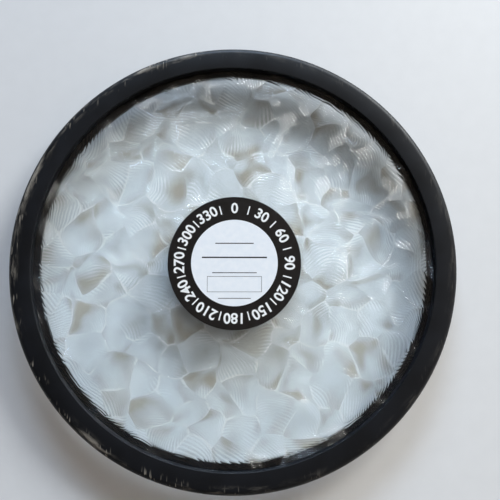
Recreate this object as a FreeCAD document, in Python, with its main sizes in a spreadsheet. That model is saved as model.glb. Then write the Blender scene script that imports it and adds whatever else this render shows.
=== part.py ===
import FreeCAD, Part
import math
import os
import random
import Sketcher

from FreeCAD import Placement, Rotation, Vector

# Distortion effects wheel for a projector
# A clear acrylic disc with a scooped face is held by its edge in a black two part rim.
# A hub is clamped through its middle, and a round label covers the hub's front.
#
# Lying down, the wheel stands on the end of its hub, and the rim hangs clear of the table.
#
# Frame: +Z is the wheel's axis, and the label side is up. The origin is on the axis,
# in the plane that the end of the hub rests on. All sizes are in millimetres.

# Driving sizes

SIZES = {
    # rim, front moulding
    "wheel_radius": 76.2,
    "wheel_height": 10.0,
    "rim_edge_round": 2.2,
    "rim_foot_chamfer": 0.6,
    "face_width": 7.7,
    "face_step": 1.4,
    "face_wall": 1.3,
    "arris_chamfer": 0.25,
    "skirt_wall": 2.2,
    "lip_width": 1.5,
    "rib_count": 12,
    "rib_width": 1.4,
    "rib_clearance": 0.3,
    # rim, rear retaining ring
    "ring_wall": 1.0,
    "ring_step": 2.2,
    "ring_clearance": 0.2,
    "upstand_width": 3.0,
    "upstand_height": 0.4,
    "snap_count": 8,
    "snap_width": 5.0,
    "snap_reach": 0.55,
    "snap_thickness": 0.5,
    "snap_level": 0.3,
    "snap_clearance": 0.15,
    # acrylic disc
    "disc_thickness": 2.0,
    "disc_edge_room": 2.2,
    "seat_clearance": 0.3,
    "seat_margin": 0.1,
    "scoop_pitch": 10.2,
    "scoop_scatter": 2.4,
    "scoop_radius": 80.0,
    "scoop_depth": 0.5,
    "scoop_depth_spread": 0.3,
    # label and hub
    "label_radius": 22.5,
    "label_thickness": 0.15,
    "label_margin": 0.1,
    "hub_plate": 1.0,
    "spigot_wall": 1.7,
    "spigot_clearance": 0.1,
    "spigot_gap": 0.2,
    "washer_thickness": 0.5,
    "flange_lap": 4.0,
    "flange_thickness": 1.5,
    "boss_land": 1.4,
    "press_clearance": 0.03,
    # spindle bush and magnet
    "spindle_radius": 3.175,
    "spindle_clearance": 0.025,
    "bore_chamfer": 0.4,
    "bush_wall": 2.0,
    "bush_flange_width": 1.4,
    "bush_flange": 0.8,
    "magnet_lap": 0.8,
    "magnet_thickness": 1.2,
    "magnet_cover": 0.8,
    # hub screws
    "screw_count": 3,
    "screw_radius": 1.0,
    "screw_length": 4.0,
    "screw_clearance": 0.1,
    "screw_head_radius": 1.9,
    "screw_head_height": 1.1,
    "screw_head_clearance": 0.3,
    "pilot_spare": 0.3,
}

# The scatter of the scoops is drawn from this seed, so that every build is the same.
SCOOP_SEED = 37

doc = FreeCAD.newDocument("effects_wheel")
sheet = doc.addObject("Spreadsheet::Sheet", "sizes")
for row, (alias, number) in enumerate(SIZES.items(), start=1):
    sheet.set(f"A{row}", alias)
    sheet.set(f"B{row}", str(number))
    sheet.setAlias(f"B{row}", alias)
doc.recompute()


# Places worked out from the sizes, as expressions

def size(alias):
    return f"sizes.{alias}"


def total(*terms):
    return " + ".join(f"({term})" for term in terms)


def less(first, *terms):
    return " - ".join(f"({term})" for term in (first,) + terms)


def value(expression):
    return float(sheet.evalExpression(expression))


# Radii
WHEEL = size("wheel_radius")
FACE_INNER = less(WHEEL, size("face_width"))
SKIRT_INNER = less(WHEEL, size("skirt_wall"))
LIP_OUTER = total(FACE_INNER, size("lip_width"))
DISC_EDGE = less(SKIRT_INNER, size("disc_edge_room"))
RIB_INNER = total(DISC_EDGE, size("rib_clearance"))
RING_INNER = less(FACE_INNER, size("ring_step"))
RING_OUTER = less(SKIRT_INNER, size("ring_clearance"))
SNAP_TIP = total(RING_OUTER, size("snap_reach"))
HUB_EDGE = total(size("label_radius"), size("label_margin"))
BORE = total(size("spindle_radius"), size("spindle_clearance"))
BUSH_EDGE = total(BORE, size("bush_wall"))
BUSH_SEAT = total(BUSH_EDGE, size("press_clearance"))
BUSH_FLANGE_EDGE = total(BUSH_EDGE, size("bush_flange_width"))
MAGNET_EDGE = total(BORE, size("magnet_lap"))
MAGNET_SEAT = total(MAGNET_EDGE, size("press_clearance"))
BOSS_EDGE = total(BUSH_FLANGE_EDGE, size("boss_land"))
SCREW_CIRCLE = total(BOSS_EDGE, size("screw_head_clearance"), size("screw_head_radius"))
SPIGOT_EDGE = total(SCREW_CIRCLE, size("screw_radius"), size("spigot_wall"))
DISC_HOLE = total(SPIGOT_EDGE, size("spigot_clearance"))
FLANGE_EDGE = total(DISC_HOLE, size("flange_lap"))

# Heights
RIM_TOP = size("wheel_height")
DISC_FRONT = less(RIM_TOP, size("face_step"))
DEEPEST_SCOOP = total(size("scoop_depth"), size("scoop_depth_spread"))
DISC_SEAT = less(DISC_FRONT, DEEPEST_SCOOP, size("seat_margin"))
DISC_BACK = less(DISC_FRONT, size("disc_thickness"))
FACE_UNDER = less(RIM_TOP, size("face_wall"))
RING_TOP = less(DISC_BACK, size("upstand_height"))
RIM_FOOT = less(RING_TOP, size("ring_wall"))
HUB_FRONT = total(DISC_FRONT, size("hub_plate"))
SPIGOT_END = total(DISC_BACK, size("spigot_gap"))
FLANGE_FRONT = less(DISC_BACK, size("washer_thickness"))
FLANGE_BACK = less(FLANGE_FRONT, size("flange_thickness"))
MAGNET_FRONT = less(HUB_FRONT, size("magnet_cover"))
BUSH_FRONT = less(MAGNET_FRONT, size("magnet_thickness"))
BOSS_END = size("bush_flange")
BUSH_END = "0"
SCREW_TIP = total(FLANGE_BACK, size("screw_length"))


# Thickness of the ball end that cuts a scoop, a little over the deepest one
SCOOP_CAP = total(DEEPEST_SCOOP, size("seat_margin"))


# Modelling helpers

def origin_plane(body, role):
    return next(item for item in body.Origin.OriginFeatures if item.Role == role)


def new_body(label):
    body = doc.addObject("PartDesign::Body", label)
    body.Label = label
    return body


def new_sketch(body, name, role):
    sketch = body.newObject("Sketcher::SketchObject", name)
    sketch.AttachmentSupport = (origin_plane(body, role), [""])
    sketch.MapMode = "FlatFace"
    return sketch


def pin_coordinate(sketch, line, kind, axis, expression):
    # The start of a line stands at a bound distance from the origin, or on the axis itself.
    if expression == "0":
        sketch.addConstraint(Sketcher.Constraint("PointOnObject", line, 1, axis))
        return
    index = sketch.addConstraint(Sketcher.Constraint(kind, -1, 1, line, 1, value(expression)))
    sketch.setExpression(f"Constraints[{index}]", expression)


def draw_outline(sketch, corners):
    # A closed outline of straight lines, each corner bound to its own two expressions.
    points = [Vector(value(x), value(y), 0) for x, y in corners]
    lines = []
    for start, end in zip(points, points[1:] + points[:1]):
        lines.append(sketch.addGeometry(Part.LineSegment(start, end), False))
    for line, following in zip(lines, lines[1:] + lines[:1]):
        sketch.addConstraint(Sketcher.Constraint("Coincident", line, 2, following, 1))
    for line, (x, y) in zip(lines, corners):
        pin_coordinate(sketch, line, "DistanceX", -2, x)
        pin_coordinate(sketch, line, "DistanceY", -1, y)


def revolve(body, name, corners):
    # A half section in radius and height, turned about the wheel's axis.
    sketch = new_sketch(body, f"{name}_section", "XZ_Plane")
    draw_outline(sketch, corners)
    feature = body.newObject("PartDesign::Revolution", name)
    feature.Profile = sketch
    feature.ReferenceAxis = (sketch, ["V_Axis"])
    feature.Angle = 360
    doc.recompute()
    return feature


def circle_edges(body, radius, height):
    # The names of the circular edges of this radius and height, about the wheel's axis.
    tolerance = 1e-4
    names = []
    for number, edge in enumerate(body.Shape.Edges, start=1):
        if not isinstance(edge.Curve, Part.Circle):
            continue
        same_radius = abs(edge.Curve.Radius - radius) < tolerance
        same_height = abs(edge.Curve.Center.z - height) < tolerance
        if same_radius and same_height:
            names.append(f"Edge{number}")
    return names


def chamfer_edge(body, name, radius, height, amount):
    # A chamfer on the circular edge of this radius and height.
    base = body.Tip
    edges = circle_edges(body, value(radius), value(height))
    feature = body.newObject("PartDesign::Chamfer", name)
    feature.Base = (base, edges)
    feature.setExpression("Size", amount)
    doc.recompute()
    return feature


def radial_block(body, name, radius_in, radius_out, width):
    # A rectangle across the +X radius, for a pad or a pocket.
    sketch = new_sketch(body, f"{name}_outline", "XY_Plane")
    x_in = value(radius_in)
    x_out = value(radius_out)
    half = value(width) / 2
    corners = [
        Vector(x_in, -half, 0),
        Vector(x_out, -half, 0),
        Vector(x_out, half, 0),
        Vector(x_in, half, 0),
    ]
    for start, end in zip(corners, corners[1:] + corners[:1]):
        sketch.addGeometry(Part.LineSegment(start, end), False)
    for line in range(4):
        sketch.addConstraint(Sketcher.Constraint("Coincident", line, 2, (line + 1) % 4, 1))
    sketch.addConstraint(Sketcher.Constraint("Horizontal", 0))
    sketch.addConstraint(Sketcher.Constraint("Horizontal", 2))
    sketch.addConstraint(Sketcher.Constraint("Vertical", 3))
    sketch.addConstraint(Sketcher.Constraint("Symmetric", 1, 1, 1, 2, -1))
    for kind, first, second, expression in (
        ("DistanceX", (-1, 1), (0, 1), radius_in),
        ("DistanceX", (-1, 1), (0, 2), radius_out),
        ("DistanceY", (1, 1), (1, 2), width),
    ):
        constraint = Sketcher.Constraint(kind, *first, *second, value(expression))
        index = sketch.addConstraint(constraint)
        sketch.setExpression(f"Constraints[{index}]", expression)
    return sketch


def hole_circle(body, name, distance, radius):
    # A circle on the +X radius, for a round boss or hole.
    sketch = new_sketch(body, f"{name}_outline", "XY_Plane")
    centre = Vector(value(distance), 0, 0)
    sketch.addGeometry(Part.Circle(centre, Vector(0, 0, 1), value(radius)), False)
    sketch.addConstraint(Sketcher.Constraint("PointOnObject", 0, 3, -1))
    place = sketch.addConstraint(Sketcher.Constraint("DistanceX", -1, 1, 0, 3, value(distance)))
    sketch.setExpression(f"Constraints[{place}]", distance)
    width = sketch.addConstraint(Sketcher.Constraint("Radius", 0, value(radius)))
    sketch.setExpression(f"Constraints[{width}]", radius)
    return sketch


def extrude(body, kind, name, sketch, level, length):
    # A pad upwards, or a pocket that also cuts upwards, from a sketch lifted to a level.
    sketch.setExpression("AttachmentOffset.Base.z", level)
    feature = body.newObject(f"PartDesign::{kind}", name)
    feature.Profile = sketch
    feature.setExpression("Length", length)
    if kind == "Pocket":
        feature.Reversed = True
    doc.recompute()
    return feature


def repeat_around(body, name, feature, sketch, count):
    # Copies of a feature, evenly spaced about the wheel's axis.
    pattern = body.newObject("PartDesign::PolarPattern", name)
    pattern.Originals = [feature]
    pattern.Axis = (sketch, ["N_Axis"])
    pattern.Angle = 360
    pattern.setExpression("Occurrences", count)
    body.Tip = pattern
    doc.recompute()
    return pattern


# Rim, front moulding

def round_outer_edge(body):
    # The outer edge is rounded in three flats, each tangent to one arc of the same radius.
    round_radius = size("rim_edge_round")
    wide = f"{round_radius} * (2 - sqrt(2))"
    narrow = f"{round_radius} * (tan(22.5 deg) - tan(11.25 deg))"
    chamfer_edge(body, "edge_flat", WHEEL, RIM_TOP, wide)
    chamfer_edge(body, "edge_flat_upper", less(WHEEL, wide), RIM_TOP, narrow)
    chamfer_edge(body, "edge_flat_lower", WHEEL, less(RIM_TOP, wide), narrow)


def make_rim_front():
    body = new_body("rim_front")
    revolve(body, "rim_moulding", [
        (SKIRT_INNER, RIM_FOOT),
        (WHEEL, RIM_FOOT),
        (WHEEL, RIM_TOP),
        (FACE_INNER, RIM_TOP),
        (FACE_INNER, DISC_SEAT),
        (LIP_OUTER, DISC_SEAT),
        (LIP_OUTER, FACE_UNDER),
        (SKIRT_INNER, FACE_UNDER),
    ])
    round_outer_edge(body)
    chamfer_edge(body, "foot_chamfer", WHEEL, RIM_FOOT, size("rim_foot_chamfer"))
    chamfer_edge(body, "inner_arris", FACE_INNER, RIM_TOP, size("arris_chamfer"))

    # Ribs inside the skirt keep the disc central, and end just above the rear ring.
    rib_root = total(SKIRT_INNER, f"{size('skirt_wall')} / 4")
    rib_foot = total(RING_TOP, size("ring_clearance"))
    sketch = radial_block(body, "rib", RIB_INNER, rib_root, size("rib_width"))
    rib = extrude(body, "Pad", "rib", sketch, rib_foot, less(FACE_UNDER, rib_foot))
    repeat_around(body, "ribs", rib, sketch, size("rib_count"))

    # Windows inside the skirt take the snap tabs of the rear ring.
    window_radius = total(SNAP_TIP, size("snap_clearance"))
    window_width = total(size("snap_width"), size("snap_clearance"), size("snap_clearance"))
    window_foot = total(RIM_FOOT, less(size("snap_level"), size("snap_clearance")))
    depth = total(size("snap_thickness"), size("snap_clearance"), size("snap_clearance"))
    sketch = radial_block(body, "window", RING_OUTER, window_radius, window_width)
    window = extrude(body, "Pocket", "window", sketch, window_foot, depth)
    repeat_around(body, "windows", window, sketch, size("snap_count"))
    return body


# Rim, rear retaining ring

def make_rim_back():
    body = new_body("rim_back")
    upstand_outer = total(RING_INNER, size("upstand_width"))
    revolve(body, "ring_moulding", [
        (RING_INNER, RIM_FOOT),
        (RING_OUTER, RIM_FOOT),
        (RING_OUTER, RING_TOP),
        (upstand_outer, RING_TOP),
        (upstand_outer, DISC_BACK),
        (RING_INNER, DISC_BACK),
    ])

    # Snap tabs on the outer edge spring into the windows inside the skirt.
    snap_root = less(RING_OUTER, size("snap_reach"))
    sketch = radial_block(body, "snap", snap_root, SNAP_TIP, size("snap_width"))
    snap_foot = total(RIM_FOOT, size("snap_level"))
    snap = extrude(body, "Pad", "snap", sketch, snap_foot, size("snap_thickness"))
    repeat_around(body, "snaps", snap, sketch, size("snap_count"))
    return body


# Acrylic disc, with a face of overlapping shallow scoops

def scoop_places():
    # Sunflower spacing covers the face evenly, and the scatter hides its spirals.
    draw = random.Random(SCOOP_SEED)
    pitch = value(size("scoop_pitch"))
    scatter = value(size("scoop_scatter"))
    outer = value(FACE_INNER) + pitch / 2
    inner = value(HUB_EDGE) - pitch / 2
    golden_angle = math.pi * (3 - math.sqrt(5))
    places = []
    for number in range(int(math.pi * (outer / pitch) ** 2)):
        distance = pitch * math.sqrt(number / math.pi)
        turn = number * golden_angle
        x = distance * math.cos(turn) + scatter * draw.uniform(-1, 1)
        y = distance * math.sin(turn) + scatter * draw.uniform(-1, 1)
        depth = value(size("scoop_depth")) + value(size("scoop_depth_spread")) * draw.random()
        if inner < math.hypot(x, y) < outer:
            places.append((x, y, depth))
    return places


def make_scoop_tool():
    # The rounded end of a ball, thicker than the deepest scoop. Its bottom is at the origin,
    # and the ball's poles lie level, out of the way of the cut.
    radius = value(size("scoop_radius"))
    ball = Part.makeSphere(radius)
    ball.Placement = Placement(Vector(0, 0, radius), Rotation(Vector(1, 0, 0), 90))
    return ball.common(Part.makeCylinder(radius, value(SCOOP_CAP)))


def sort_into_layers(places, spacing):
    # Scoops in one layer stand clear of each other, so each layer is one simple cut.
    layers = []
    for place in places:
        for layer in layers:
            if all(math.dist(place[:2], other[:2]) > spacing for other in layer):
                layer.append(place)
                break
        else:
            layers.append([place])
    return layers


def make_distortion_disc():
    blank = new_body("disc_blank")
    revolve(blank, "disc_plate", [
        (DISC_HOLE, DISC_BACK),
        (DISC_EDGE, DISC_BACK),
        (DISC_EDGE, DISC_FRONT),
        (DISC_HOLE, DISC_FRONT),
    ])

    tool = make_scoop_tool()
    front = value(DISC_FRONT)
    reach = math.sqrt(2 * value(size("scoop_radius")) * value(SCOOP_CAP))
    shape = blank.Shape
    for layer in sort_into_layers(scoop_places(), 2 * reach):
        cuts = []
        for x, y, depth in layer:
            cut = tool.copy()
            cut.translate(Vector(x, y, front - depth))
            cuts.append(cut)
        shape = shape.cut(cuts)

    # Flat seats for the rim's lip and the hub's plate, turned just below the scoops.
    seat_height = value(less(total(DISC_FRONT, SCOOP_CAP), DISC_SEAT))
    seat_base = Vector(0, 0, value(DISC_SEAT))
    lip_seat_radius = value(less(FACE_INNER, size("seat_clearance")))
    lip_seat = Part.makeCylinder(value(WHEEL), seat_height, seat_base)
    lip_seat = lip_seat.cut(Part.makeCylinder(lip_seat_radius, seat_height, seat_base))
    hub_seat_radius = value(total(HUB_EDGE, size("seat_clearance")))
    hub_seat = Part.makeCylinder(hub_seat_radius, seat_height, seat_base)
    shape = shape.cut([lip_seat, hub_seat])

    disc = doc.addObject("Part::Feature", "distortion_disc")
    disc.Label = "distortion_disc"
    disc.Shape = shape
    return disc


# Hub

def make_hub_front():
    body = new_body("hub_front")
    revolve(body, "clamp_plate", [
        ("0", MAGNET_FRONT),
        ("0", HUB_FRONT),
        (HUB_EDGE, HUB_FRONT),
        (HUB_EDGE, DISC_SEAT),
        (SPIGOT_EDGE, DISC_SEAT),
        (SPIGOT_EDGE, SPIGOT_END),
        (BUSH_SEAT, SPIGOT_END),
        (BUSH_SEAT, BUSH_FRONT),
        (MAGNET_SEAT, BUSH_FRONT),
        (MAGNET_SEAT, MAGNET_FRONT),
    ])

    # Blind holes for the screws, from the spigot's end.
    sketch = hole_circle(body, "pilot", SCREW_CIRCLE, size("screw_radius"))
    depth = less(total(SCREW_TIP, size("pilot_spare")), SPIGOT_END)
    pilot = extrude(body, "Pocket", "pilot", sketch, SPIGOT_END, depth)
    repeat_around(body, "pilots", pilot, sketch, size("screw_count"))
    return body


def make_hub_back():
    body = new_body("hub_back")
    revolve(body, "flange_and_boss", [
        (BUSH_SEAT, BOSS_END),
        (BOSS_EDGE, BOSS_END),
        (BOSS_EDGE, FLANGE_BACK),
        (FLANGE_EDGE, FLANGE_BACK),
        (FLANGE_EDGE, FLANGE_FRONT),
        (BUSH_SEAT, FLANGE_FRONT),
    ])

    # Clear holes for the screws.
    hole_radius = total(size("screw_radius"), size("screw_clearance"))
    sketch = hole_circle(body, "screw_hole", SCREW_CIRCLE, hole_radius)
    hole = extrude(body, "Pocket", "screw_hole", sketch, FLANGE_BACK, size("flange_thickness"))
    repeat_around(body, "screw_holes", hole, sketch, size("screw_count"))
    return body


def make_hub_washer():
    body = new_body("hub_washer")
    revolve(body, "washer", [
        (DISC_HOLE, FLANGE_FRONT),
        (FLANGE_EDGE, FLANGE_FRONT),
        (FLANGE_EDGE, DISC_BACK),
        (DISC_HOLE, DISC_BACK),
    ])
    return body


def make_spindle_bush():
    body = new_body("spindle_bush")
    revolve(body, "bush", [
        (BORE, BUSH_END),
        (BUSH_FLANGE_EDGE, BUSH_END),
        (BUSH_FLANGE_EDGE, BOSS_END),
        (BUSH_EDGE, BOSS_END),
        (BUSH_EDGE, BUSH_FRONT),
        (BORE, BUSH_FRONT),
    ])
    chamfer_edge(body, "lead_in", BORE, BUSH_END, size("bore_chamfer"))
    return body


def make_hub_magnet():
    magnet = doc.addObject("Part::Cylinder", "hub_magnet")
    magnet.Label = "hub_magnet"
    magnet.setExpression("Radius", MAGNET_EDGE)
    magnet.setExpression("Height", size("magnet_thickness"))
    magnet.setExpression("Placement.Base.z", BUSH_FRONT)
    doc.recompute()
    return magnet


def make_label():
    label = doc.addObject("Part::Cylinder", "label")
    label.Label = "label"
    label.setExpression("Radius", size("label_radius"))
    label.setExpression("Height", size("label_thickness"))
    label.setExpression("Placement.Base.z", HUB_FRONT)
    doc.recompute()
    return label


def make_hub_screws():
    # One screw, head down, and its copies around the hub.
    shank = doc.addObject("Part::Cylinder", "screw_shank")
    shank_radius = less(size("screw_radius"), size("press_clearance"))
    shank.setExpression("Radius", shank_radius)
    shank.setExpression("Height", size("screw_length"))
    head = doc.addObject("Part::Cylinder", "screw_head")
    head.setExpression("Radius", size("screw_head_radius"))
    head.setExpression("Height", size("screw_head_height"))
    head.setExpression("Placement.Base.z", f"-{size('screw_head_height')}")
    screw = doc.addObject("Part::Fuse", "screw")
    screw.Base = shank
    screw.Tool = head
    doc.recompute()

    count = int(value(size("screw_count")))
    centre = Vector(value(SCREW_CIRCLE), 0, value(FLANGE_BACK))
    copies = []
    for number in range(count):
        turn = Rotation(Vector(0, 0, 1), 360 * number / count)
        copy = screw.Shape.copy()
        copy.Placement = Placement(turn.multVec(centre), turn)
        copies.append(copy)
    screws = doc.addObject("Part::Feature", "hub_screws")
    screws.Label = "hub_screws"
    screws.Shape = Part.makeCompound(copies)
    return screws


# Build, check and write

SUB_PARTS = [
    make_rim_front(),
    make_rim_back(),
    make_distortion_disc(),
    make_hub_front(),
    make_hub_back(),
    make_hub_washer(),
    make_spindle_bush(),
    make_hub_magnet(),
    make_hub_screws(),
    make_label(),
]

doc.recompute()
for item in doc.Objects:
    if "Invalid" in item.State or "Error" in item.State:
        raise RuntimeError(f"{item.Label} failed: {item.State}")
for sub_part in SUB_PARTS:
    shape = sub_part.Shape
    if shape.isNull() or not shape.isValid() or not shape.Solids:
        raise RuntimeError(f"{sub_part.Label} has no valid solid")

os.makedirs("parts", exist_ok=True)
for sub_part in SUB_PARTS:
    shape = sub_part.Shape
    shape.exportStep(os.path.join("parts", f"{sub_part.Label}.step"))
    print(f"{sub_part.Label}: {len(shape.Solids)} solids, {shape.Volume:.1f} mm3")
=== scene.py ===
import math
import random

import bpy
from mathutils import Matrix, Vector, noise


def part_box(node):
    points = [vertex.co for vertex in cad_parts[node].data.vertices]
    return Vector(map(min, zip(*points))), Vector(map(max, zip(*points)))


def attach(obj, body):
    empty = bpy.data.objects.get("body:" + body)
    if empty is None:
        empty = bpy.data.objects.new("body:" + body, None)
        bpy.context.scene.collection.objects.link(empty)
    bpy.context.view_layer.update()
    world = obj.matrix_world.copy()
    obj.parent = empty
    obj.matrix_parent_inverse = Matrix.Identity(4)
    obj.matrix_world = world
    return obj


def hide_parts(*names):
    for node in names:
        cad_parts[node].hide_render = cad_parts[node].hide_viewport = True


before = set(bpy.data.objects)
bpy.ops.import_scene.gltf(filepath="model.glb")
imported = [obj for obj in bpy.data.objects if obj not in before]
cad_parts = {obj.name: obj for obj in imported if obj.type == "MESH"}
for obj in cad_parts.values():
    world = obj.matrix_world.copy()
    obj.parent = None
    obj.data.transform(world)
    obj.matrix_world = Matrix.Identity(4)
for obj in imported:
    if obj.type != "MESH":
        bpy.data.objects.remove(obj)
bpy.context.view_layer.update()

# Distortion effects wheel: a clear scooped disc in a black rim, with a labelled hub.
# Lengths are written in millimetres and turned to metres by MM.

MM = 0.001

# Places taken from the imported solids
RIM_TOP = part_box("rim_front")[1].z
RIM_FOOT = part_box("rim_front")[0].z
WHEEL_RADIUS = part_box("rim_front")[1].x
DISC_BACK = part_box("distortion_disc")[0].z
DISC_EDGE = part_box("distortion_disc")[1].x
LABEL_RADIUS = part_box("label")[1].x
LABEL_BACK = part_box("label")[0].z
LABEL_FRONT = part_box("label")[1].z

# Sizes of the mouldings and the disc in millimetres, as on the solids
EDGE_ROUND = 2.2
FOOT_CHAMFER = 0.6
FACE_WALL = 1.3
FACE_INNER = 68.5
LIP_OUTER = 70.0
SKIRT_INNER = 74.0
RIB_INNER = 72.1
RIB_COUNT = 12
RIB_WIDTH = 1.4
RING_INNER = 66.3
RING_OUTER = 73.8
RING_WALL = 1.0
UPSTAND_OUTER = 69.3
TAB_COUNT = 8
TAB_WIDTH = 5.0
SMALL_BREAK = 0.2
DISC_HOLE = 13.0
FIELD_EDGE = 68.2
HUB_SEAT = 22.9
FACE_STEP = 1.4
SEAT_DEPTH = 0.9
FACE = RIM_TOP / MM - FACE_STEP
SEAT = FACE - SEAT_DEPTH
WIDEST = RIM_TOP / MM - EDGE_ROUND
SCREW_CIRCLE = 10.2

# Sizes on the label
WHITE_CENTRE = 14.65
NUMBER_CIRCLE = 18.5
NUMBER_SIZE = 4.9
TICK_INNER = 17.0
TICK_OUTER = 20.0
INK = 0.01
NUMBER_STEP = 30
TICK_WIDTH = 0.44

ROUND_STEPS = 256


# Modelling helpers

def clear_selection():
    if bpy.context.mode != "OBJECT":
        bpy.ops.object.mode_set(mode="OBJECT")
    bpy.ops.object.select_all(action="DESELECT")


def pick(piece):
    # Makes a piece the only one selected, and the active one.
    clear_selection()
    piece.select_set(True)
    bpy.context.view_layer.objects.active = piece


def settle(piece):
    # The place goes into the mesh, and the object stays at the origin.
    pick(piece)
    bpy.ops.object.transform_apply(location=True, rotation=True, scale=True)
    return piece


def apply_modifier(piece, kind, **settings):
    pick(piece)
    modifier = piece.modifiers.new(kind.lower(), kind)
    for name, setting in settings.items():
        setattr(modifier, name, setting)
    bpy.ops.object.modifier_apply(modifier=modifier.name)


def join_pieces(pieces, name):
    clear_selection()
    for piece in pieces:
        piece.select_set(True)
    bpy.context.view_layer.objects.active = pieces[0]
    if len(pieces) > 1:
        bpy.ops.object.join()
    pieces[0].name = name
    return pieces[0]


def smooth_by_angle(piece, degrees):
    pick(piece)
    bpy.ops.object.shade_smooth_by_angle(angle=math.radians(degrees))


def turn_on_lathe(name, outline, steps=ROUND_STEPS, solid_middle=False):
    # A circle is extruded from corner to corner of a half section, in millimetres. A piece
    # with a solid middle has its two end circles closed, and any other comes back round.
    clear_selection()
    radius, height = outline[0]
    bpy.ops.mesh.primitive_circle_add(
        vertices=steps, radius=radius * MM, location=(0, 0, height * MM), fill_type="NOTHING"
    )
    piece = bpy.context.object
    piece.name = name
    bpy.ops.object.mode_set(mode="EDIT")
    way_back = [] if solid_middle else outline[:1]
    for next_radius, next_height in outline[1:] + way_back:
        rise = (next_height - height) * MM
        spread = next_radius / radius
        bpy.ops.mesh.extrude_region_move(TRANSFORM_OT_translate={"value": (0, 0, rise)})
        bpy.ops.transform.resize(value=(spread, spread, 1), center_override=(0, 0, 0))
        radius, height = next_radius, next_height
    bpy.ops.mesh.select_all(action="SELECT")
    bpy.ops.mesh.remove_doubles(threshold=0.002 * MM)
    if solid_middle:
        bpy.ops.mesh.fill_holes(sides=0)
        bpy.ops.mesh.select_all(action="SELECT")
    bpy.ops.mesh.normals_make_consistent(inside=False)
    bpy.ops.object.mode_set(mode="OBJECT")
    return settle(piece)


def add_block(name, low, high, turn=0.0):
    # A box between two corners in millimetres, turned about the wheel's axis.
    clear_selection()
    middle = [(a + b) / 2 * MM for a, b in zip(low, high)]
    bpy.ops.mesh.primitive_cube_add(size=1, location=middle)
    piece = bpy.context.object
    piece.name = name
    piece.scale = [(b - a) * MM for a, b in zip(low, high)]
    settle(piece)
    piece.matrix_world = Matrix.Rotation(turn, 4, "Z")
    return settle(piece)


def arc(centre, radius, start, end, pieces):
    # Points along an arc of a half section, angles in degrees from the radius outwards.
    points = []
    for number in range(pieces + 1):
        angle = math.radians(start + (end - start) * number / pieces)
        x = centre[0] + radius * math.cos(angle)
        points.append((x, centre[1] + radius * math.sin(angle)))
    return points


def finish_piece(piece, nodes, materials):
    piece.data.materials.clear()
    for material in materials:
        piece.data.materials.append(material)
    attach(piece, "root")
    if nodes:
        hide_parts(*nodes)
    return piece


# Materials

def linear(sheet_colour):
    # An sRGB hex colour as linear red, green, blue and alpha.
    channels = [int(sheet_colour[i:i + 2], 16) / 255 for i in (1, 3, 5)]
    curve = [c / 12.92 if c <= 0.04045 else ((c + 0.055) / 1.055) ** 2.4 for c in channels]
    return (*curve, 1.0)


def add_node(tree, kind, inputs=None, **settings):
    # Adds a node. An input is a number, a colour or another node's output.
    node = tree.nodes.new("ShaderNode" + kind)
    for name, setting in settings.items():
        setattr(node, name, setting)
    for name, given in (inputs or {}).items():
        if isinstance(given, bpy.types.NodeSocket):
            tree.links.new(given, node.inputs[name])
        else:
            node.inputs[name].default_value = given
    return node


def every(length):
    # The scale of a pattern whose lumps are so many millimetres apart.
    return 1 / (length * MM)


def new_material(name):
    # A material with its node tree and its Principled shader.
    material = bpy.data.materials.new(name)
    material.use_nodes = True
    tree = material.node_tree
    shader = tree.nodes["Principled BSDF"]
    return material, tree, shader


# The rim is worn between these radii, and most along its widest line
WORN_FROM, WORN_TO = 71.8 * MM, 75.4 * MM
CORNER_FROM, CORNER_TO = 75.75 * MM, 76.15 * MM


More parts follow.
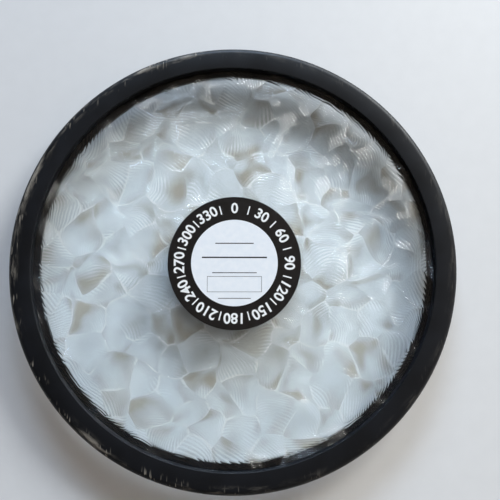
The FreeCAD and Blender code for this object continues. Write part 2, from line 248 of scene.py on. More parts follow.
def make_black_plastic(name, scuffed):
    # Moulded black ABS: a deep satin black, faintly mottled. Where hands and tables rub the
    # outer edge it is worn grey in streaks that run round it, with a few pale scratches.
    material, tree, shader = new_material(name)
    place = add_node(tree, "TexCoord").outputs["Object"]
    mottle = add_node(tree, "TexNoise", {
        "Vector": place, "Scale": every(11), "Detail": 4
    }).outputs["Fac"]
    skin = add_node(tree, "ValToRGB", {"Fac": mottle})
    skin.color_ramp.elements[0].position = 0.3
    skin.color_ramp.elements[0].color = linear("#06080D")
    skin.color_ramp.elements[1].position = 0.75
    skin.color_ramp.elements[1].color = linear("#0B0E15")
    colour = skin.outputs["Color"]
    gloss = add_node(tree, "MapRange", {
        "Value": mottle, "From Min": 0.3, "From Max": 0.7, "To Min": 0.42, "To Max": 0.52
    }).outputs["Result"]
    if scuffed:
        parts = add_node(tree, "SeparateXYZ", {"Vector": place})
        left = add_node(tree, "Math", {0: parts.outputs["X"], 1: -1}, operation="MULTIPLY")
        angle = add_node(tree, "Math", {
            0: parts.outputs["Y"], 1: left.outputs[0]
        }, operation="ARCTAN2")
        flat = add_node(tree, "VectorMath", {0: place, 1: (1, 1, 0)}, operation="MULTIPLY")
        radius = add_node(tree, "VectorMath", {
            0: flat.outputs[0]
        }, operation="LENGTH").outputs["Value"]
        # A full turn is drawn much shorter than the edge, so the streaks are long.
        round_edge = add_node(tree, "Math", {
            0: angle.outputs[0], 1: 15 * MM
        }, operation="MULTIPLY")
        along = add_node(tree, "CombineXYZ", {
            "X": round_edge.outputs[0], "Y": radius, "Z": parts.outputs["Z"]
        }).outputs[0]
        worn_side = add_node(tree, "MapRange", {
            "Value": parts.outputs["X"], "From Min": 40 * MM, "From Max": -55 * MM,
            "To Min": 0.15, "To Max": 1.0
        }, interpolation_type="SMOOTHSTEP").outputs["Result"]
        edge = add_node(tree, "MapRange", {
            "Value": radius, "From Min": WORN_FROM, "From Max": WORN_TO
        }, interpolation_type="SMOOTHSTEP").outputs["Result"]
        zone = add_node(tree, "Math", {0: edge, 1: worn_side}, operation="MULTIPLY").outputs[0]

        rubbed = add_node(tree, "TexNoise", {
            "Vector": along, "Scale": every(1.6), "Detail": 4, "Roughness": 0.65
        }).outputs["Fac"]
        rubbed = add_node(tree, "MapRange", {
            "Value": rubbed, "From Min": 0.47, "From Max": 0.72
        }, interpolation_type="SMOOTHSTEP").outputs["Result"]
        patch = add_node(tree, "TexNoise", {
            "Vector": place, "Scale": every(21), "Detail": 2
        }).outputs["Fac"]
        patch = add_node(tree, "MapRange", {
            "Value": patch, "From Min": 0.4, "From Max": 0.62
        }, interpolation_type="SMOOTHSTEP").outputs["Result"]
        rubbed = add_node(tree, "Math", {0: rubbed, 1: patch}, operation="MULTIPLY").outputs[0]

        # Short straight scratches lie in two directions, in patches of their own.
        scratches = []
        for turn, chance in ((0.6, 0.64), (-0.9, 0.66)):
            lie = add_node(tree, "Mapping", {
                "Vector": place, "Rotation": (0, 0, turn), "Scale": (1.0, 0.12, 1.0)
            }).outputs["Vector"]
            line = add_node(tree, "TexNoise", {
                "Vector": lie, "Scale": every(0.7), "Detail": 1
            }).outputs["Fac"]
            scratches.append(add_node(tree, "MapRange", {
                "Value": line, "From Min": chance, "From Max": chance + 0.04
            }).outputs["Result"])
        scratch = add_node(tree, "Math", {
            0: scratches[0], 1: scratches[1]
        }, operation="MAXIMUM").outputs[0]
        broken = add_node(tree, "TexNoise", {
            "Vector": place, "Scale": every(7), "Detail": 1
        }).outputs["Fac"]
        broken = add_node(tree, "MapRange", {
            "Value": broken, "From Min": 0.48, "From Max": 0.6
        }).outputs["Result"]
        scratch = add_node(tree, "Math", {
            0: scratch, 1: broken
        }, operation="MULTIPLY").outputs[0]
        mark = add_node(tree, "Math", {0: rubbed, 1: scratch}, operation="MAXIMUM").outputs[0]
        mark = add_node(tree, "Math", {0: mark, 1: zone}, operation="MULTIPLY").outputs[0]

        # The widest line of the edge is rubbed to a thin pale streak.
        corner = add_node(tree, "MapRange", {
            "Value": radius, "From Min": CORNER_FROM, "From Max": CORNER_TO, "To Max": 0.55
        }).outputs["Result"]
        for share in (worn_side, patch):
            corner = add_node(tree, "Math", {0: corner, 1: share}, operation="MULTIPLY").outputs[0]
        mark = add_node(tree, "Math", {0: mark, 1: corner}, operation="MAXIMUM").outputs[0]
        colour = add_node(tree, "Mix", {
            "Factor": mark, 6: colour, 7: linear("#97938B")
        }, data_type="RGBA").outputs[2]
        gloss = add_node(tree, "Math", {0: gloss, 1: mark}, operation="MAXIMUM").outputs[0]
    # The moulding's grain is drawn coarser than it is, so that it shows.
    grain = add_node(tree, "TexNoise", {
        "Vector": place, "Scale": every(0.4), "Detail": 2
    }).outputs["Fac"]
    bump = add_node(tree, "Bump", {"Height": grain, "Strength": 0.25, "Distance": 0.02 * MM})
    tree.links.new(bump.outputs["Normal"], shader.inputs["Normal"])
    tree.links.new(colour, shader.inputs["Base Color"])
    tree.links.new(gloss, shader.inputs["Roughness"])
    shader.inputs["IOR"].default_value = 1.52
    shader.inputs["Specular IOR Level"].default_value = 0.3
    shader.inputs["Specular Tint"].default_value = (0.86, 0.93, 1.0, 1.0)
    return material


# The tool ridges and the crests between scoops, drawn coarser than they are, so that they show
RIDGE_PITCH = 0.85 * MM
RIDGE_HEIGHT = 0.15 * MM
CREST_HEIGHT = 0.07 * MM

# The sheet's haze ends between the first two radii, and its margin begins between the others
HAZE_FROM, HAZE_TO = 30 * MM, 50 * MM
MARGIN_FROM, MARGIN_TO = 60 * MM, 64 * MM


def make_clear_acrylic():
    # Clear acrylic sheet. Every scoop is crossed by fine curved tool ridges, which come and go.
    # Painted light and shade: each scoop is painted lighter or darker, cooler or warmer, than its
    # neighbours, standing in for the light that its tilt gathers or spreads.
    material, tree, shader = new_material("tooled_clear_acrylic")
    ridges = add_node(tree, "UVMap", uv_map="ridge_map").outputs["UV"]
    cell = add_node(tree, "UVMap", uv_map="cell_map").outputs["UV"]
    cell_parts = add_node(tree, "SeparateXYZ", {"Vector": cell})
    border = cell_parts.outputs["X"]
    chance = cell_parts.outputs["Y"]
    place = add_node(tree, "TexCoord").outputs["Object"]

    # A wave texture's rings are 2 pi / 20 / scale apart. The power makes them narrow ridges.
    wave = add_node(tree, "TexWave", {
        "Vector": ridges, "Scale": math.tau / (20 * RIDGE_PITCH),
        "Distortion": 0.8, "Detail": 1.0, "Detail Scale": 0.8
    }, wave_type="RINGS", rings_direction="Z").outputs["Fac"]
    wave = add_node(tree, "Math", {0: wave, 1: 1.6}, operation="POWER").outputs[0]
    fade = add_node(tree, "TexNoise", {
        "Vector": ridges, "Scale": every(7.5), "Detail": 1
    }).outputs["Fac"]
    fade = add_node(tree, "MapRange", {
        "Value": fade, "From Min": 0.44, "From Max": 0.62, "To Min": 0.05, "To Max": 1.0
    }, interpolation_type="SMOOTHSTEP").outputs["Result"]
    outward = add_node(tree, "MapRange", {
        "Value": border, "From Min": 0.15, "From Max": 0.65, "To Min": 0.35, "To Max": 1.0
    }).outputs["Result"]
    fade = add_node(tree, "Math", {0: fade, 1: outward}, operation="MULTIPLY").outputs[0]
    # They were cut deeper on one side of the sheet than on the other, the side towards the lamps,
    # where the painted ridge highlights below are brighter as well.
    slant = add_node(tree, "VectorMath", {
        0: place, 1: (0.5, 0.85, 0.0)
    }, operation="DOT_PRODUCT")
    deep = add_node(tree, "MapRange", {
        "Value": slant.outputs["Value"], "From Min": -50 * MM, "From Max": 35 * MM,
        "To Min": 0.45, "To Max": 1.2
    }).outputs["Result"]
    fade = add_node(tree, "Math", {0: fade, 1: deep}, operation="MULTIPLY").outputs[0]
    # Along the rim the ridges stay deep, which gives the black ledge its toothed outline.
    radius = add_node(tree, "VectorMath", {0: place}, operation="LENGTH").outputs["Value"]
    margin = add_node(tree, "MapRange", {
        "Value": radius, "From Min": MARGIN_FROM, "From Max": MARGIN_TO
    }).outputs["Result"]
    fade = add_node(tree, "Math", {0: fade, 1: margin}, operation="MAXIMUM").outputs[0]
    ridge = add_node(tree, "Math", {0: wave, 1: fade}, operation="MULTIPLY").outputs[0]
    ridge_bump = add_node(tree, "Bump", {
        "Height": ridge, "Strength": 1.0, "Distance": RIDGE_HEIGHT
    }).outputs["Normal"]

    # A low crest stands along the border of a scoop, on one side of it more than another. The same
    # mask paints a highlight along the crest further on.
    crest_and_painted_highlight = add_node(tree, "MapRange", {
        "Value": border, "From Min": 0.88, "From Max": 1.0
    }, interpolation_type="SMOOTHSTEP").outputs["Result"]
    reach = add_node(tree, "TexNoise", {
        "Vector": ridges, "Scale": every(8), "Detail": 0
    }).outputs["Fac"]
    reach = add_node(tree, "MapRange", {
        "Value": reach, "From Min": 0.5, "From Max": 0.64
    }, interpolation_type="SMOOTHSTEP").outputs["Result"]
    crest_and_painted_highlight = add_node(tree, "Math", {0: crest_and_painted_highlight, 1: reach}, operation="MULTIPLY").outputs[0]
    bump = add_node(tree, "Bump", {
        "Height": crest_and_painted_highlight, "Strength": 1.0, "Distance": CREST_HEIGHT, "Normal": ridge_bump
    })
    tree.links.new(bump.outputs["Normal"], shader.inputs["Normal"])

    # Painted light and shade: each scoop shows another stretch of a soft change of tone, standing
    # in for the light that the scoops gather and for the shade seen through them.
    cell_place = add_node(tree, "SeparateXYZ", {"Vector": ridges})
    jump = add_node(tree, "Math", {0: chance, 1: 0.2}, operation="MULTIPLY").outputs[0]
    cell_place = add_node(tree, "CombineXYZ", {
        "X": cell_place.outputs["X"], "Y": cell_place.outputs["Y"], "Z": jump
    }).outputs[0]
    painted_light_drift = add_node(tree, "TexNoise", {
        "Vector": cell_place, "Scale": every(10.5), "Detail": 1, "Roughness": 0.4
    }).outputs["Fac"]
    tone = add_node(tree, "ValToRGB", {"Fac": painted_light_drift})
    tone.color_ramp.elements[0].position = 0.3
    tone.color_ramp.elements[0].color = linear("#A39681")
    tone.color_ramp.elements[1].position = 0.62
    tone.color_ramp.elements[1].color = linear("#E8EEF0")
    tone.color_ramp.elements.new(0.48).color = linear("#D6DBDB")
    at_border = add_node(tree, "MapRange", {
        "Value": border, "From Min": 0.7, "From Max": 1.0, "To Max": 0.3
    }, interpolation_type="SMOOTHSTEP").outputs["Result"]
    tone = add_node(tree, "Mix", {
        "Factor": at_border, 6: tone.outputs["Color"], 7: linear("#DCE0E0")
    }, data_type="RGBA").outputs[2]
    # Painted highlight: the crest is painted near white, standing in for the lamps' glint along
    # it.
    tone = add_node(tree, "Mix", {
        "Factor": crest_and_painted_highlight, 6: tone, 7: linear("#FFFDF6")
    }, data_type="RGBA").outputs[2]
    # Painted highlights: the colour is lighter along each ridge, standing in for the lamps' glints
    # on the ridges.
    painted_ridge_glint = add_node(tree, "MapRange", {
        "Value": ridge, "From Min": 0.0, "From Max": 1.0, "To Min": 0.9, "To Max": 1.36
    }).outputs["Result"]
    painted_light_colour = add_node(tree, "VectorMath", {
        0: tone, "Scale": painted_ridge_glint
    }, operation="SCALE").outputs[0]
    tree.links.new(painted_light_colour, shader.inputs["Base Color"])

    # The sheet is haziest near the hub and quite clear along the rim.
    clearness = add_node(tree, "MapRange", {
        "Value": radius, "From Min": HAZE_FROM, "From Max": HAZE_TO, "To Min": 0.87, "To Max": 0.98
    }).outputs["Result"]
    clearness = add_node(tree, "Math", {
        0: clearness, 1: margin
    }, operation="MAXIMUM").outputs[0]
    tree.links.new(clearness, shader.inputs["Transmission Weight"])
    shader.inputs["Roughness"].default_value = 0.17
    shader.inputs["IOR"].default_value = 1.49

    # Lamps shine through, gathered at the borders of the scoops and thinned within them.
    swim = add_node(tree, "TexNoise", {
        "Vector": place, "Scale": every(7.5), "Detail": 1
    }).outputs["Fac"]
    swim = add_node(tree, "MapRange", {
        "Value": swim, "From Min": 0.33, "From Max": 0.67, "To Min": 0.75, "To Max": 1.4
    }).outputs["Result"]
    gather = add_node(tree, "MapRange", {
        "Value": border, "From Min": 0.4, "From Max": 0.95, "To Min": 0.85, "To Max": 1.1
    }).outputs["Result"]
    light = add_node(tree, "Math", {0: gather, 1: swim}, operation="MULTIPLY").outputs[0]
    let_through = add_node(tree, "BsdfTransparent", {"Color": light})
    shadow_ray = add_node(tree, "LightPath").outputs["Is Shadow Ray"]
    mix = add_node(tree, "MixShader", {
        0: shadow_ray, 1: shader.outputs[0], 2: let_through.outputs[0]
    })
    tree.links.new(mix.outputs[0], tree.nodes["Material Output"].inputs["Surface"])
    return material


def make_flat_finish(
    name, low_colour, high_colour, grain_size, roughness, metallic=0.0, relief=0.0
):
    # A plain finish with a fine change of tone and gloss, so that it isn't one flat colour.
    # The size of its grain and the height of its relief are in millimetres.
    material, tree, shader = new_material(name)
    place = add_node(tree, "TexCoord").outputs["Object"]
    grain = add_node(tree, "TexNoise", {
        "Vector": place, "Scale": every(grain_size), "Detail": 3
    }).outputs["Fac"]
    tone = add_node(tree, "ValToRGB", {"Fac": grain})
    tone.color_ramp.elements[0].position = 0.35
    tone.color_ramp.elements[0].color = linear(low_colour)
    tone.color_ramp.elements[1].position = 0.7
    tone.color_ramp.elements[1].color = linear(high_colour)
    tree.links.new(tone.outputs["Color"], shader.inputs["Base Color"])
    gloss = add_node(tree, "MapRange", {
        "Value": grain, "From Min": 0.3, "From Max": 0.7,
        "To Min": roughness - 0.04, "To Max": roughness + 0.04
    }).outputs["Result"]
    tree.links.new(gloss, shader.inputs["Roughness"])
    shader.inputs["Metallic"].default_value = metallic
    if relief:
        bump = add_node(tree, "Bump", {
            "Height": grain, "Strength": 0.5, "Distance": relief * MM
        })
        tree.links.new(bump.outputs["Normal"], shader.inputs["Normal"])
    return material


def make_painted_board():
    # White painted board, which darkens slowly from the right to the left.
    material, tree, shader = new_material("white_painted_board")
    place = add_node(tree, "TexCoord").outputs["Object"]
    across = add_node(tree, "SeparateXYZ", {"Vector": place}).outputs["X"]
    across = add_node(tree, "MapRange", {
        "Value": across, "From Min": -90 * MM, "From Max": 90 * MM
    }, interpolation_type="SMOOTHSTEP").outputs["Result"]
    tone = add_node(tree, "Mix", {
        "Factor": across, 6: linear("#CFD4DA"), 7: linear("#DCE0E4")
    }, data_type="RGBA").outputs[2]
    grain = add_node(tree, "TexNoise", {
        "Vector": place, "Scale": every(6), "Detail": 3
    }).outputs["Fac"]
    grain = add_node(tree, "MapRange", {
        "Value": grain, "To Min": 0.97, "To Max": 1.03
    }).outputs["Result"]
    tone = add_node(tree, "VectorMath", {0: tone, "Scale": grain}, operation="SCALE").outputs[0]
    tree.links.new(tone, shader.inputs["Base Color"])
    shader.inputs["Roughness"].default_value = 0.6
    return material


# Rim

def make_rim_front(plastic):
    # The front moulding: a rounded outer edge, a flat face, a lip and a ribbed skirt.
    outer = WHEEL_RADIUS / MM
    top, foot = RIM_TOP / MM, RIM_FOOT / MM
    under = top - FACE_WALL
    outline = [(SKIRT_INNER, foot), (outer - FOOT_CHAMFER, foot), (outer, foot + FOOT_CHAMFER)]
    outline += arc((outer - EDGE_ROUND, WIDEST), EDGE_ROUND, 0, 90, 7)
    outline += arc((FACE_INNER + SMALL_BREAK, top - SMALL_BREAK), SMALL_BREAK, 90, 180, 3)
    outline += [(FACE_INNER, SEAT), (LIP_OUTER, SEAT), (LIP_OUTER, under), (SKIRT_INNER, under)]
    rim = turn_on_lathe("rim_front_moulding", outline)
    ribs = [rim]
    half = RIB_WIDTH / 2
    for number in range(RIB_COUNT):
        low, high = (RIB_INNER, -half, foot + 1.2), (SKIRT_INNER + 0.5, half, under)
        ribs.append(add_block("rib", low, high, math.tau * number / RIB_COUNT))
    rim = join_pieces(ribs, "rim_front_moulding")
    smooth_by_angle(rim, 32)
    return finish_piece(rim, ["rim_front"], [plastic])


def make_rim_back(plastic):
    # The retaining ring: a flat ledge with an upstand and snap tabs round its edge.
    foot, top = RIM_FOOT / MM, DISC_BACK / MM
    ledge = foot + RING_WALL
    outline = [(RING_INNER + SMALL_BREAK, foot), (RING_OUTER - SMALL_BREAK, foot)]
    outline += [(RING_OUTER, foot + SMALL_BREAK), (RING_OUTER, ledge), (UPSTAND_OUTER, ledge)]
    outline += [(UPSTAND_OUTER, top), (RING_INNER, top), (RING_INNER, foot + SMALL_BREAK)]
    ring = turn_on_lathe("rim_back_moulding", outline)
    tabs = [ring]
    half = TAB_WIDTH / 2
    for number in range(TAB_COUNT):
        low = (RING_OUTER - 0.55, -half, foot + 0.3)
        high = (RING_OUTER + 0.55, half, foot + 0.8)
        tabs.append(add_block("tab", low, high, math.tau * number / TAB_COUNT))
    ring = join_pieces(tabs, "rim_back_moulding")
    smooth_by_angle(ring, 32)
    return finish_piece(ring, ["rim_back"], [plastic])


# Disc with its scooped face

SCOOP_PITCH = 10.2
SCOOP_SCATTER = 2.4
SCOOP_RADIUS = 48.0
FIELD_OUTER = 68.5
FIELD_INNER = 22.6
SHEET_REACH = 80.0
RIDGE_TURN = math.radians(52)
SWAY = 3.8
SWAY_LENGTH = 10.0
SWAY_SEED = 5
SCATTER_SEED = 37
RIDGE_SEED = 11


def scoop_places():
    # The same scatter of scoops as on the solid: place and the height of its bottom.
    draw = random.Random(SCATTER_SEED)
    outer = FIELD_OUTER + SCOOP_PITCH / 2
    inner = FIELD_INNER - SCOOP_PITCH / 2
    golden_angle = math.pi * (3 - math.sqrt(5))
    places = []
    for number in range(int(math.pi * (outer / SCOOP_PITCH) ** 2)):
        distance = SCOOP_PITCH * math.sqrt(number / math.pi)
        turn = number * golden_angle
        x = distance * math.cos(turn) + SCOOP_SCATTER * draw.uniform(-1, 1)
        y = distance * math.sin(turn) + SCOOP_SCATTER * draw.uniform(-1, 1)
        depth = 0.5 + 0.3 * draw.random()
        if inner < math.hypot(x, y) < outer:
            places.append((x, y, FACE - depth))
    return places


def cut_by_line(polygon, nx, ny, limit):
    # Keeps the part of a convex polygon where nx * x + ny * y is at most the limit.
    kept = []
    for (ax, ay), (bx, by) in zip(polygon, polygon[1:] + polygon[:1]):
        a = nx * ax + ny * ay - limit
        b = nx * bx + ny * by - limit
        if a <= 0:
            kept.append((ax, ay))
        if (a < 0 < b) or (b < 0 < a):
            t = a / (a - b)
            kept.append((ax + t * (bx - ax), ay + t * (by - ay)))
    return kept


def scoop_border(place, places):
    # A scoop ends where the next one is deeper, on a straight line between the two.
    x, y, bottom = place
    reach = SHEET_REACH
    polygon = [(-reach, -reach), (reach, -reach), (reach, reach), (-reach, reach)]
    for other_x, other_y, other_bottom in places:
        nx, ny = other_x - x, other_y - y
        if (nx, ny) == (0, 0):
            continue
        limit = (other_x ** 2 + other_y ** 2 - x ** 2 - y ** 2) / 2
        limit += SCOOP_RADIUS * (other_bottom - bottom)
        polygon = cut_by_line(polygon, nx, ny, limit)
        if len(polygon) < 3:
            return []
    return polygon


def divide_border(polygon, spacing):
    points = []
    for (ax, ay), (bx, by) in zip(polygon, polygon[1:] + polygon[:1]):
        pieces = max(1, round(math.hypot(bx - ax, by - ay) / spacing))
        for number in range(pieces):
            t = number / pieces
            points.append((ax + t * (bx - ax), ay + t * (by - ay)))
    return points


def sway(x, y):
    # Moves a point of the face a little, so that the borders between scoops curve.
    shift = noise.noise_vector(Vector((x / SWAY_LENGTH, y / SWAY_LENGTH, 3.7)))
    return x + SWAY * shift.x, y + SWAY * shift.y


def make_scooped_sheet():
    # The top is one bowl per scoop, in rings from its middle to its border.
    # Without a seed, Blender's noise differs on every run.
    noise.seed_set(SWAY_SEED)
    draw = random.Random(RIDGE_SEED)
    places = scoop_places()
    corners, faces, ridge_map, cell_map = [], [], [], []
    for place in places:
        x, y, bottom = place
        polygon = scoop_border(place, places)
        if not polygon:
            continue
        border = divide_border(polygon, 1.1)
        middle_x = sum(p[0] for p in border) / len(border)
        middle_y = sum(p[1] for p in border) / len(border)
        widest = max(math.hypot(px - middle_x, py - middle_y) for px, py in border)
        rings = max(2, min(8, round(widest / 1.4)))
        turn = RIDGE_TURN + draw.gauss(0, 0.55)
        bend = draw.uniform(12, 30)
        fineness = draw.uniform(0.88, 1.15)
        chance = draw.random()
        first = len(corners)
        local = []
        points = [(middle_x, middle_y, 0.0)]
        for ring in range(1, rings + 1):
            share = ring / rings
            for px, py in border:
                ring_x = middle_x + share * (px - middle_x)
                ring_y = middle_y + share * (py - middle_y)
                points.append((ring_x, ring_y, share))
        for px, py, share in points:
            rise = ((px - x) ** 2 + (py - y) ** 2) / (2 * SCOOP_RADIUS)
            swayed_x, swayed_y = sway(px, py)
            corners.append((swayed_x * MM, swayed_y * MM, (bottom + rise) * MM))
            u = (px - middle_x) * math.cos(turn) + (py - middle_y) * math.sin(turn) + bend
            v = (py - middle_y) * math.cos(turn) - (px - middle_x) * math.sin(turn)
            local.append(((u * MM * fineness, v * MM * fineness), (share, chance)))
        count = len(border)
        for number in range(count):
            following = (number + 1) % count
            ring_faces = [(0, 1 + number, 1 + following)]
            for ring in range(rings - 1):
                a = 1 + ring * count
                b = a + count
                ring_faces.append((a + number, b + number, b + following, a + following))
            for face in ring_faces:
                faces.append([first + corner for corner in face])
                for corner in face:
                    ridge_map.append(local[corner][0])
                    cell_map.append(local[corner][1])
    mesh = bpy.data.meshes.new("scooped_sheet")
    mesh.from_pydata(corners, [], faces)
    for name, points in (("ridge_map", ridge_map), ("cell_map", cell_map)):
        layer = mesh.uv_layers.new(name=name)
        for loop, point in enumerate(points):
            layer.data[loop].uv = point
    sheet = bpy.data.objects.new("scooped_sheet", mesh)
    bpy.context.scene.collection.objects.link(sheet)

    # The open top is drawn down to make a thick sheet.
    pick(sheet)
    bpy.ops.object.mode_set(mode="EDIT")
    bpy.ops.mesh.select_all(action="SELECT")
    bpy.ops.mesh.remove_doubles(threshold=0.002 * MM)
    bpy.ops.mesh.select_all(action="DESELECT")
    bpy.ops.mesh.select_mode(type="EDGE")
    bpy.ops.mesh.select_non_manifold()
    bpy.ops.mesh.extrude_region_move(TRANSFORM_OT_translate={"value": (0, 0, 0)})
    bpy.ops.transform.resize(value=(1, 1, 0), center_override=(0, 0, 4 * MM))
    bpy.ops.mesh.edge_face_add()
    bpy.ops.mesh.select_all(action="SELECT")
    bpy.ops.mesh.normals_make_consistent(inside=False)
    bpy.ops.object.mode_set(mode="OBJECT")
    return sheet


def make_disc(acrylic):
    # The scooped sheet is cut to the disc's outline, with flat seats for the rim and hub.
    sheet = make_scooped_sheet()
    back, edge = DISC_BACK / MM, DISC_EDGE / MM
    blank = turn_on_lathe("disc_blank", [
        (DISC_HOLE, back), (edge - SMALL_BREAK, back), (edge, back + SMALL_BREAK),
        (edge, SEAT), (FIELD_EDGE, SEAT), (FIELD_EDGE, FACE),
        (HUB_SEAT, FACE), (HUB_SEAT, SEAT), (DISC_HOLE, SEAT)
    ], 192)
    apply_modifier(sheet, "BOOLEAN", operation="INTERSECT", object=blank, solver="EXACT")
    bpy.data.objects.remove(blank)
    sheet.name = "scooped_disc"
    smooth_by_angle(sheet, 3.2)
    return finish_piece(sheet, ["distortion_disc"], [acrylic])


# Label

def make_number(words, size, place, turn):
    # A printed number, drawn thin and laid on the label.
    clear_selection()
    bpy.ops.object.text_add()
    text = bpy.context.object
    text.data.body = words
    text.data.size = size * MM
    text.data.align_x = "CENTER"
    text.data.align_y = "CENTER"
    text.data.offset = 0.11 * MM
    text.data.extrude = INK * MM
    text.data.resolution_u = 4
    bpy.ops.object.convert(target="MESH")
    text = bpy.context.object
    text.matrix_world = Matrix.Translation(Vector(place) * MM) @ Matrix.Rotation(turn, 4, "Z")
    return settle(text)


def make_label(black_vinyl, white_vinyl, white_ink, black_ink):
    radius = LABEL_RADIUS / MM
    back, front = LABEL_BACK / MM, LABEL_FRONT / MM
    label = turn_on_lathe("round_label", [
        (2, front), (WHITE_CENTRE, front), (radius - 0.05, front), (radius, front - 0.05),
        (radius, back), (2, back)
    ], solid_middle=True)
    smooth_by_angle(label, 32)
    finish_piece(label, ["label"], [black_vinyl, white_vinyl])
    for face in label.data.polygons:
        distance = math.hypot(face.center.x, face.center.y)
        if face.center.z > (front - INK) * MM and distance < WHITE_CENTRE * MM:
            face.material_index = 1

    # A plain dial: numbers every thirty degrees, and ticks between them.
    level = LABEL_FRONT / MM + 0.012
    numbers = []
    count = 360 // NUMBER_STEP
    half = TICK_WIDTH / 2
    for step in range(count):
        angle = math.tau * step / count
        turned = math.pi / 2 - angle
        across, up = NUMBER_CIRCLE * math.cos(turned), NUMBER_CIRCLE * math.sin(turned)
        words = str(step * NUMBER_STEP)
        numbers.append(make_number(words, NUMBER_SIZE, (across, up, level), -angle))
        tick = turned - math.tau / (2 * count)
        numbers.append(add_block(
            "tick", (TICK_INNER, -half, level - INK), (TICK_OUTER, half, level + INK), tick
        ))
    numbers = join_pieces(numbers, "label_numbers")
    finish_piece(numbers, [], [white_ink])

    # Plain ruled lines and an empty box on the white centre.
    low, high = level - INK, level + INK
    marks = []
    for y, half, thick in (
        (6.6, 6.5, 0.3), (1.8, 11.0, 0.45), (-3.4, 7.5, 0.25), (-12.0, 5.5, 0.2)
    ):
        top, bottom = y + thick / 2, y - thick / 2
        marks.append(add_block("rule", (-half, bottom, low), (half, top, high)))
    half, foot, head, thick = 9.2, -9.9, -4.6, 0.12
    for corner_a, corner_b in (
        ((-half, foot), (half, foot + thick)),
        ((-half, head - thick), (half, head)),
        ((-half, foot + thick), (-half + thick, head - thick)),
        ((half - thick, foot + thick), (half, head - thick)),
    ):
        marks.append(add_block("box", (*corner_a, low), (*corner_b, high)))
    marks = join_pieces(marks, "label_rules")
    finish_piece(marks, [], [black_ink])


# Hub screws

SCREW_COUNT = 3
SCREW_SECTION = [
    (0.4, 8.6), (0.97, 8.1), (0.97, 4.6), (1.9, 4.6), (1.9, 4.05),
    (1.75, 3.75), (1.35, 3.55), (0.4, 3.5)
]
SLOT_CORNERS = [(-1.2, -0.22, 3.1), (1.2, 0.22, 4.1)]


def make_hub_screws(zinc):
    # Pan heads with a cross slot, each driven home at a turn of its own.
    screws = []
    for number in range(SCREW_COUNT):
        angle = math.tau * number / SCREW_COUNT
        centre = SCREW_CIRCLE * math.cos(angle), SCREW_CIRCLE * math.sin(angle), 0
        head = turn_on_lathe("screw", SCREW_SECTION, 32, solid_middle=True)
        for turn in (0, math.pi / 2):
            slot = add_block("slot", *SLOT_CORNERS, turn + 0.5 * number)
            apply_modifier(head, "BOOLEAN", operation="DIFFERENCE", object=slot, solver="EXACT")
            bpy.data.objects.remove(slot)
        head.matrix_world = Matrix.Translation(Vector(centre) * MM)
        screws.append(settle(head))
    screws = join_pieces(screws, "hub_screw_set")
    smooth_by_angle(screws, 30)
    return finish_piece(screws, ["hub_screws"], [zinc])


# Stage, light and camera. Lengths here are in metres.

FLOOR_SIZE = 8.0
WINDOW_DISTANCE = 2.0
WINDOW_WIDTH = 0.96
WINDOW_HEIGHT = 0.47
WINDOW_ELEVATION = 24


def make_stage(paint):
    clear_selection()
    bpy.ops.mesh.primitive_plane_add(size=FLOOR_SIZE, location=(0, 0, 0))
    floor = settle(bpy.context.object)
    floor.name = "table_top"
    floor.data.materials.append(paint)


def add_window_light(name, azimuth, watts, colour):
    # A wide soft light that faces the wheel, from an azimuth in degrees. It isn't seen
    # through the clear sheet, where it would stand out as a hard bright patch.
    turn, rise = math.radians(azimuth), math.radians(WINDOW_ELEVATION)
    direction = Vector((
        math.cos(turn) * math.cos(rise), math.sin(turn) * math.cos(rise), math.sin(rise)
    ))
    across = Vector((-math.sin(turn), math.cos(turn), 0))
    facing = Matrix((across, direction.cross(across), direction)).transposed().to_4x4()
    data = bpy.data.lights.new(name, "AREA")
    data.shape = "RECTANGLE"
    data.size = WINDOW_WIDTH
    data.size_y = WINDOW_HEIGHT
    data.energy = watts
    data.color = colour
    lamp = bpy.data.objects.new(name, data)
    bpy.context.scene.collection.objects.link(lamp)
    lamp.matrix_world = Matrix.Translation(direction * WINDOW_DISTANCE) @ facing
    lamp.visible_transmission = False


def set_room(azimuth, far_colour, near_colour):
    # A warm room, which is brighter on the side that the azimuth names.
    world = bpy.data.worlds.new("pale_room")
    world.use_nodes = True
    tree = world.node_tree
    turn = math.radians(azimuth)
    towards = (math.cos(turn), math.sin(turn), 0.0)
    direction = add_node(tree, "TexCoord").outputs["Generated"]
    side = add_node(tree, "VectorMath", {0: direction, 1: towards}, operation="DOT_PRODUCT")
    room = add_node(tree, "ValToRGB", {"Fac": add_node(tree, "MapRange", {
        "Value": side.outputs["Value"], "From Min": -0.35, "From Max": 0.85
    }).outputs["Result"]})
    room.color_ramp.elements[0].color = far_colour
    room.color_ramp.elements[1].color = near_colour
    tree.links.new(room.outputs["Color"], tree.nodes["Background"].inputs["Color"])
    bpy.context.scene.world = world


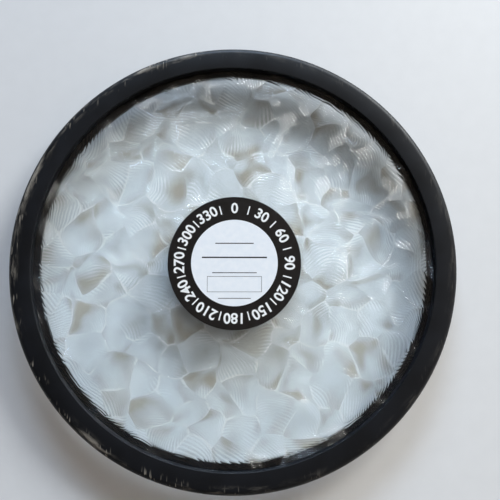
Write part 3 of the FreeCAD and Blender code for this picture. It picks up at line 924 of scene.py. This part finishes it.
def place_camera():
    # The eye and its aim, in millimetres, were found from the outlines of the rim and label.
    eye = Vector((2.18, -13.73, WIDEST + 177.35)) * MM
    aim = Vector((5.28, 4.51, WIDEST)) * MM
    forward = (aim - eye).normalized()
    right = forward.cross(Vector((0, 1, 0))).normalized()
    upright = right.cross(forward)
    data = bpy.data.cameras.new("photo_camera")
    data.sensor_width = 36
    data.lens = 37.44
    data.clip_start = 0.01
    camera = bpy.data.objects.new("photo_camera", data)
    bpy.context.scene.collection.objects.link(camera)
    turn = Matrix((right, upright, -forward)).transposed().to_4x4()
    camera.matrix_world = Matrix.Translation(eye) @ turn
    bpy.context.scene.camera = camera


rim_plastic = make_black_plastic("moulded_black_abs_scuffed", True)
hub_plastic = make_black_plastic("moulded_black_abs", False)
make_rim_front(rim_plastic)
make_rim_back(hub_plastic)
make_disc(make_clear_acrylic())
# The label is smooth printed vinyl with a soft sheen, and its ink lies dull on it.
make_label(
    make_flat_finish("black_printed_vinyl", "#08080A", "#0F0E12", 1.5, 0.36),
    make_flat_finish("white_printed_vinyl", "#E6F0FB", "#EDF5FE", 2.0, 0.36),
    make_flat_finish("white_screen_ink", "#EAF1F6", "#F3F7FA", 1.0, 0.45),
    make_flat_finish("black_screen_ink", "#1A1B20", "#24252A", 1.0, 0.45),
)
# Bright zinc plate is a cool pale grey, with highlights a little blurred.
make_hub_screws(make_flat_finish("zinc_plated_steel", "#A9ABAE", "#BFC1C4", 0.4, 0.3, 1.0))

# Sheet rubber is dull and slightly rough, turned brass a warm yellow mirror that has been
# handled, and nickel plate a paler and sharper one.
rubber = make_flat_finish("black_sheet_rubber", "#141414", "#1C1C1C", 0.5, 0.8, 0.0, 0.02)
brass = make_flat_finish("turned_brass", "#B9984F", "#CDAE66", 0.6, 0.28, 1.0)
nickel = make_flat_finish("nickel_plated_magnet", "#B5B2AA", "#C8C5BD", 0.8, 0.22, 1.0)
finishes = {
    "hub_front": hub_plastic,
    "hub_back": hub_plastic,
    "hub_washer": rubber,
    "spindle_bush": brass,
    "hub_magnet": nickel,
}
for name, finish in finishes.items():
    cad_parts[name].data.materials.clear()
    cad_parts[name].data.materials.append(finish)

make_stage(make_painted_board())
add_window_light("sky_side_window", 92, 26.5, (0.8, 1.0, 1.25))
add_window_light("sunny_side_window", 48, 42.5, (1.0, 1.0, 0.97))
set_room(20, (0.14, 0.122, 0.102, 1.0), (0.60, 0.50, 0.41, 1.0))
place_camera()
bpy.context.scene.view_settings.view_transform = "Standard"
